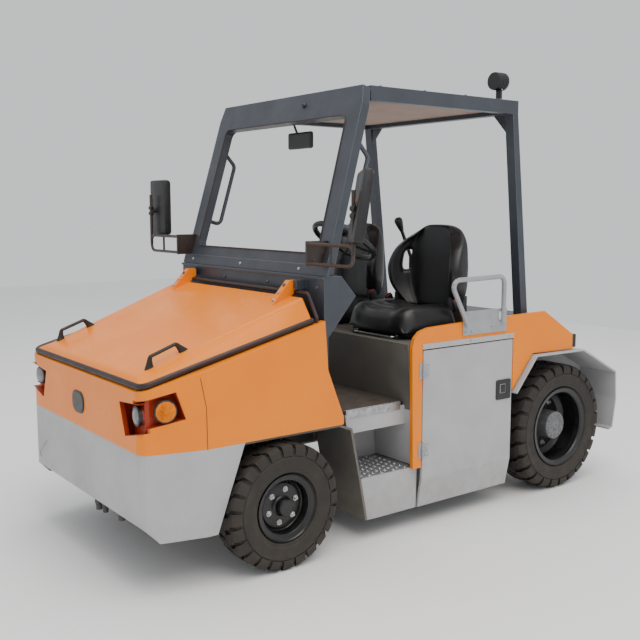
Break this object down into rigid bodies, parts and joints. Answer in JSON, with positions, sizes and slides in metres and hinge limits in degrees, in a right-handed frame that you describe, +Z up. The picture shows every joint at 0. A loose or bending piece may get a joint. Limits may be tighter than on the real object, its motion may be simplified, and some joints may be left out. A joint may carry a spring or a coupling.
{
  "type": "airport baggage tug",
  "caption": "Electric tow tractor for airport baggage carts: orange nose and lid, open two-seat cab with roof, grey steps and side doors, rear tow pin.",
  "frame": {"origin": "on the ground, under the middle of the whole machine's box", "axes": "+Z up, the nose points along -Y, the driver's side is +X"},
  "size_m": [1.974, 3.078, 2.281],
  "materials": {
    "orange_paint": "gloss powder coat over folded steel sheet",
    "grey_paint": "satin light grey paint on steel plate",
    "charcoal_paint": "satin dark blue-grey paint on steel tube and sheet",
    "black_paint": "gloss black chassis paint",
    "dark_brown_paint": "matt dark textured paint",
    "tyre_rubber": "worn solid industrial tyre",
    "black_vinyl": "embossed black vinyl over foam",
    "zinc_steel": "silver painted steel tube and plate",
    "tan_liner": "brown roof lining",
    "black_plastic": "moulded black plastic",
    "clear_lens": "clear headlamp lens",
    "amber_lens": "moulded amber lens",
    "red_lens": "moulded red lens"
  },
  "bodies": {
    "root": {"battery_block": "dark_brown_paint", "chassis_frame": "black_paint", "control_lever": "black_plastic", "cowl": "charcoal_paint", "driver_seat_back": "black_vinyl", "driver_seat_cushion": "black_vinyl", "floor_plate": "black_paint", "front_axle": "black_paint", "front_bumper": "grey_paint", "front_fender_left": "orange_paint", "front_fender_right": "orange_paint", "grab_handle_left": "charcoal_paint", "grab_handle_right": "charcoal_paint", "handrail_left": "zinc_steel", "handrail_right": "zinc_steel", "interior_mirror": "black_plastic", "lamp_cluster_left": "orange_paint", "lamp_cluster_right": "orange_paint", "mirror_left": "black_plastic", "mirror_right": "black_plastic", "nose_panel": "orange_paint", "passenger_seat_back": "black_vinyl", "passenger_seat_cushion": "black_vinyl", "rear_axle": "black_paint", "rear_deck": "charcoal_paint", "rear_hitch": "black_paint", "rear_mudguard_left": "grey_paint", "rear_mudguard_right": "grey_paint", "roof_frame": "charcoal_paint", "roof_panel": "tan_liner", "seat_box": "dark_brown_paint", "side_panel_left": "orange_paint", "side_panel_right": "orange_paint", "steering_column": "black_plastic", "step_left": "grey_paint", "step_right": "grey_paint", "tail_lamp_left": "red_lens", "tail_lamp_right": "red_lens", "wheel_liner_left": "dark_brown_paint", "wheel_liner_right": "dark_brown_paint", "windscreen_frame": "charcoal_paint", "work_lamp": "black_plastic"},
    "bonnet": {"bonnet": "orange_paint", "bonnet_handle_left": "black_plastic", "bonnet_handle_right": "black_plastic"},
    "side_door_left": {"side_door_left": "grey_paint"},
    "side_door_right": {"side_door_right": "grey_paint"},
    "steering_wheel": {"steering_wheel": "black_plastic"},
    "knuckle_left": {"knuckle_left": "black_paint"},
    "knuckle_right": {"knuckle_right": "black_paint"},
    "front_wheel_left": {"front_rim_left": "black_paint", "front_tyre_left": "tyre_rubber"},
    "front_wheel_right": {"front_rim_right": "black_paint", "front_tyre_right": "tyre_rubber"},
    "rear_wheel_left": {"rear_rim_left": "black_paint", "rear_tyre_left": "tyre_rubber"},
    "rear_wheel_right": {"rear_rim_right": "black_paint", "rear_tyre_right": "tyre_rubber"}
  },
  "joints": [
    {"name": "bonnet_hinge", "type": "hinge", "parent": "root", "child": "bonnet", "pos_m": [0, -0.705, 1.236], "axis": [-1, 0, 0], "range_deg": [0, 60]},
    {"name": "side_door_left_hinge", "type": "hinge", "parent": "root", "child": "side_door_left", "pos_m": [0.684, -0.078, 0.5], "axis": [0, 0, -1], "range_deg": [0, 110]},
    {"name": "side_door_right_hinge", "type": "hinge", "parent": "root", "child": "side_door_right", "pos_m": [-0.684, -0.078, 0.5], "axis": [0, 0, 1], "range_deg": [0, 110]},
    {"name": "steering", "type": "hinge", "parent": "root", "child": "steering_wheel", "pos_m": [0.33, -0.293, 1.415], "axis": [0, 0.5446, 0.8387], "range_deg": [-720, 720]},
    {"name": "steer_left", "type": "hinge", "parent": "root", "child": "knuckle_left", "pos_m": [0.6, -0.9, 0.283], "axis": [0, 0, 1], "range_deg": [-36.5, 36.5]},
    {"name": "steer_right", "type": "hinge", "parent": "root", "child": "knuckle_right", "pos_m": [-0.6, -0.9, 0.283], "axis": [0, 0, 1], "range_deg": [-36.5, 36.5]},
    {"name": "front_wheel_left_spin", "type": "hinge", "parent": "knuckle_left", "child": "front_wheel_left", "pos_m": [0.6255, -0.9, 0.283], "axis": [1, 0, 0], "continuous": true},
    {"name": "front_wheel_right_spin", "type": "hinge", "parent": "knuckle_right", "child": "front_wheel_right", "pos_m": [-0.6255, -0.9, 0.283], "axis": [1, 0, 0], "continuous": true},
    {"name": "rear_wheel_left_spin", "type": "hinge", "parent": "root", "child": "rear_wheel_left", "pos_m": [0.5705, 0.995, 0.353], "axis": [1, 0, 0], "continuous": true},
    {"name": "rear_wheel_right_spin", "type": "hinge", "parent": "root", "child": "rear_wheel_right", "pos_m": [-0.5705, 0.995, 0.353], "axis": [1, 0, 0], "continuous": true}
  ],
  "couplings": [
    {"joint": "steer_left", "follows": "steering", "ratio": 0.05},
    {"joint": "steer_right", "follows": "steering", "ratio": 0.05}
  ]
}
